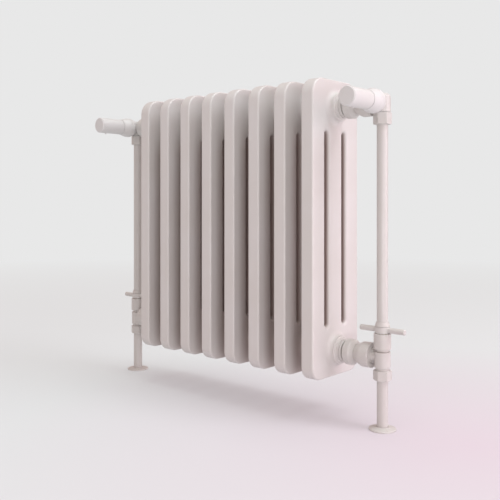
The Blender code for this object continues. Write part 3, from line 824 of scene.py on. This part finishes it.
def painted(name, colour, grain, grain_depth, wave_depth, roughness, painted_shade=None):
    """Satin paint: a fine grain over soft waves, uneven gloss, faint tint patches, and edges where
    the coat is thinner and shows a warmer, duller tone."""
    nodes = Nodes(name)
    aged = tint(colour, (0.975, 0.968, 0.955))
    patches = nodes.ramp(nodes.object_noise(9.0, 4.0), 0.35, 0.65, aged, colour)
    specks = nodes.ramp(nodes.object_noise(420.0, 2.0), 0.70, 0.78, UNCHANGED, (0.94, 0.93, 0.91))
    coat = nodes.mix(1.0, patches, specks, "MULTIPLY")
    edges = nodes.ramp(nodes.add("ShaderNodeNewGeometry").outputs["Pointiness"], 0.53, 0.60,
                       UNCHANGED, (0.955, 0.945, 0.93))
    coat = nodes.mix(1.0, coat, edges, "MULTIPLY")
    # Painted shade, for the castings: their slots and the gaps between them are darkened.
    if painted_shade:
        coat = nodes.mix(1.0, coat, painted_shade(nodes), "MULTIPLY")
    nodes.join(coat, nodes.shader.inputs["Base Color"])
    nodes.join(nodes.spread(nodes.object_noise(38.0, 5.0, 0.6), *roughness), nodes.shader.inputs["Roughness"])
    waves = nodes.bump(nodes.object_noise(70.0, 2.0), wave_depth)
    normal = nodes.bump(nodes.object_noise(grain, 3.0, 0.6), grain_depth, before=waves)
    nodes.join(normal, nodes.shader.inputs["Normal"])
    nodes.shader.inputs["Specular IOR Level"].default_value = 0.5
    return nodes.material


def bare_metal(name, colour, roughness):
    """Machined metal with fine turning marks and slightly uneven tarnish."""
    nodes = Nodes(name)
    dull = tint(colour, (0.82, 0.78, 0.70))
    tarnish = nodes.ramp(nodes.object_noise(60.0, 4.0), 0.35, 0.7, colour, dull)
    nodes.join(tarnish, nodes.shader.inputs["Base Color"])
    nodes.join(nodes.spread(nodes.object_noise(140.0, 4.0), roughness - 0.07, roughness + 0.10),
               nodes.shader.inputs["Roughness"])
    coords = nodes.add("ShaderNodeTexCoord")
    rings = nodes.add("ShaderNodeTexWave", wave_type="BANDS", bands_direction="Z", Scale=900.0,
                      Distortion=0.4)
    nodes.join(coords.outputs["Object"], rings.inputs["Vector"])
    nodes.join(nodes.bump(rings.outputs["Fac"], 0.00003, 0.5), nodes.shader.inputs["Normal"])
    nodes.shader.inputs["Metallic"].default_value = 1.0
    return nodes.material


def seal_rubber():
    """Matt black rubber with a dusty bloom."""
    nodes = Nodes("seal_rubber_fine")
    bloom = nodes.ramp(nodes.object_noise(200.0, 4.0), 0.4, 0.7, RUBBER, RUBBER_BLOOM)
    nodes.join(bloom, nodes.shader.inputs["Base Color"])
    nodes.join(nodes.spread(nodes.object_noise(300.0, 2.0), 0.70, 0.88), nodes.shader.inputs["Roughness"])
    nodes.join(nodes.bump(nodes.object_noise(1200.0, 2.0), 0.00005), nodes.shader.inputs["Normal"])
    return nodes.material


# ---------------------------------------------------------------- stage, light and camera

BACKDROP = (0.807, 0.807, 0.807)
AMBIENT = (0.584, 0.423, 0.399)
FLOOR = (0.382, 0.400, 0.400)
FLOOR_GLOW = (0.325, 0.318, 0.328)
FLOOR_FADE = 4.0
# Painted pink light: a soft pool of pink on the floor at the right, where pink light falls.
FLOOR_PINK_LIGHT_COLOUR = (0.380, 0.300, 0.345)
PINK_LIGHT_AT = (0.55, 0.05, 0.0)
PINK_LIGHT_RADIUS = 0.9
FLOOR_SIZE = 60.0
OVERHEAD_SPREAD = math.radians(35)
SENSOR_WIDTH = 36.0
LENS = 50.35
FRAME_SHIFT = -0.0976
CAMERA_AT = (1.0943, -1.1785, 0.4491)
CAMERA_YAW = math.radians(41.64)


def floor_material():
    """Pale, faintly glowing floor that fades into the backdrop far away, with a painted pool of pink light at
    the right.
    """
    nodes = Nodes("studio_floor")
    near = nodes.ball((0.0, 0.0, 0.0), FLOOR_FADE)
    plain = nodes.ramp(near, 0.0, 0.75, (0.0, 0.0, 0.0), FLOOR)
    # Painted pink light pooled on the floor at the right.
    nodes.join(nodes.mix(nodes.ball(PINK_LIGHT_AT, PINK_LIGHT_RADIUS), plain, (*FLOOR_PINK_LIGHT_COLOUR, 1.0)),
               nodes.shader.inputs["Base Color"])
    nodes.join(nodes.ramp(near, 0.0, 0.75, BACKDROP, FLOOR_GLOW), nodes.shader.inputs["Emission Color"])
    nodes.shader.inputs["Emission Strength"].default_value = 1.0
    nodes.shader.inputs["Roughness"].default_value = 0.9
    nodes.shader.inputs["Specular IOR Level"].default_value = 0.0
    return nodes.material


def build_stage():
    """Pale floor that runs out of sight."""
    bm = bmesh.new()
    bmesh.ops.create_grid(bm, x_segments=1, y_segments=1, size=FLOOR_SIZE / 2)
    floor = bpy.data.objects.new("floor", to_mesh(bm, "floor"))
    bpy.context.scene.collection.objects.link(floor)
    floor.data.materials.append(floor_material())
    floor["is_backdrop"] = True


def build_world():
    """Even surround: pale grey where it is seen, and a dimmer, warmer light on everything else."""
    world = bpy.data.worlds.new("studio")
    world.use_nodes = True
    tree = world.node_tree
    seen = tree.nodes["Background"]
    seen.inputs["Color"].default_value = (*BACKDROP, 1.0)
    ambient = tree.nodes.new("ShaderNodeBackground")
    ambient.inputs["Color"].default_value = (*AMBIENT, 1.0)
    choice = tree.nodes.new("ShaderNodeMixShader")
    rays = tree.nodes.new("ShaderNodeLightPath")
    tree.links.new(rays.outputs["Is Camera Ray"], choice.inputs["Fac"])
    tree.links.new(ambient.outputs["Background"], choice.inputs[1])
    tree.links.new(seen.outputs["Background"], choice.inputs[2])
    tree.links.new(choice.outputs["Shader"], tree.nodes["World Output"].inputs["Surface"])
    bpy.context.scene.world = world


def lamp(name, kind, location, aim, energy, colour, **settings):
    """Lamp at a place, turned towards a point."""
    data = bpy.data.lights.new(name, kind)
    data.energy = energy
    data.color = colour
    for key, value in settings.items():
        setattr(data, key, value)
    light = bpy.data.objects.new(name, data)
    bpy.context.scene.collection.objects.link(light)
    light.location = location
    light.rotation_euler = (Vector(aim) - Vector(location)).to_track_quat("-Z", "Y").to_euler()


def panel(name, location, aim, energy, colour, width, height):
    """Rectangular soft light."""
    lamp(name, "AREA", location, aim, energy, colour, shape="RECTANGLE", size=width, size_y=height)


def build_lights():
    """Wide overhead light, a small soft one over the front, and panels high, level and low on the right."""
    lamp("overhead", "SUN", (0.15, 0.1, 3.0), (0.0, 0.0, 0.0), 1.38, (0.85, 1.0, 0.96),
         angle=OVERHEAD_SPREAD)
    panel("top_front", (0.0, -0.8, 1.5), (0.0, 0.0, 0.65), 2.3, (0.66, 0.90, 1.0), 1.2, 0.6)
    panel("top_right", (2.4, 0.55, 3.2), (0.3, 0.0, 0.5), 47.0, (0.82, 0.93, 1.0), 1.7, 1.7)
    panel("right_key", (4.7, -1.9, 1.2), (0.0, 0.0, 0.4), 20.0, (0.85, 0.98, 1.0), 4.0, 2.0)
    panel("right_panel", (3.0, 0.9, 0.9), (0.3, 0.0, 0.35), 33.0, (1.0, 0.80, 0.90), 1.6, 1.8)
    panel("low_fill", (1.9, -1.7, 0.12), (0.2, 0.0, 0.2), 13.5, (1.0, 0.97, 1.0), 1.6, 0.2)


def build_camera():
    """Level camera in front of the right-hand end, with the frame shifted down to the radiator."""
    data = bpy.data.cameras.new("camera")
    data.sensor_width = SENSOR_WIDTH
    data.lens = LENS
    data.shift_y = FRAME_SHIFT
    camera = bpy.data.objects.new("camera", data)
    bpy.context.scene.collection.objects.link(camera)
    camera.location = CAMERA_AT
    camera.rotation_euler = (math.pi / 2, 0.0, CAMERA_YAW)
    bpy.context.scene.camera = camera


def build():
    """Everything around the frame."""
    # The enamel of the castings carries painted shade in their slots and between them.
    enamel = painted("white_enamel_fine", ENAMEL, grain=1100.0, grain_depth=0.00006, wave_depth=0.00025,
                     roughness=(0.34, 0.46), painted_shade=casting_painted_shade)
    fitting = painted("white_fitting_fine", FITTING_PAINT, grain=1500.0, grain_depth=0.00003,
                      wave_depth=0.00008, roughness=(0.28, 0.38))
    plastic = painted("head_plastic_fine", PLASTIC, grain=2200.0, grain_depth=0.00003,
                      wave_depth=0.00004, roughness=(0.40, 0.50))
    brass = bare_metal("brass_fine", BRASS, 0.32)
    steel = bare_metal("steel_fine", STEEL, 0.28)
    aluminium = bare_metal("aluminium_fine", ALUMINIUM, 0.35)
    rubber = seal_rubber()
    build_sections(enamel, steel)
    build_unions(fitting)
    build_risers(fitting, brass)
    build_isolating_valves(fitting, brass)
    build_thermostatic_valves(fitting, plastic, (brass, steel, aluminium), rubber)
    build_stage()
    build_world()
    build_lights()
    build_camera()
    bpy.context.scene.view_settings.view_transform = "Standard"


build()

boxes = {"cad": cad_bounds, "visual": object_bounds()}
{name: [list(corner) for corner in box] for name, box in boxes.items()}
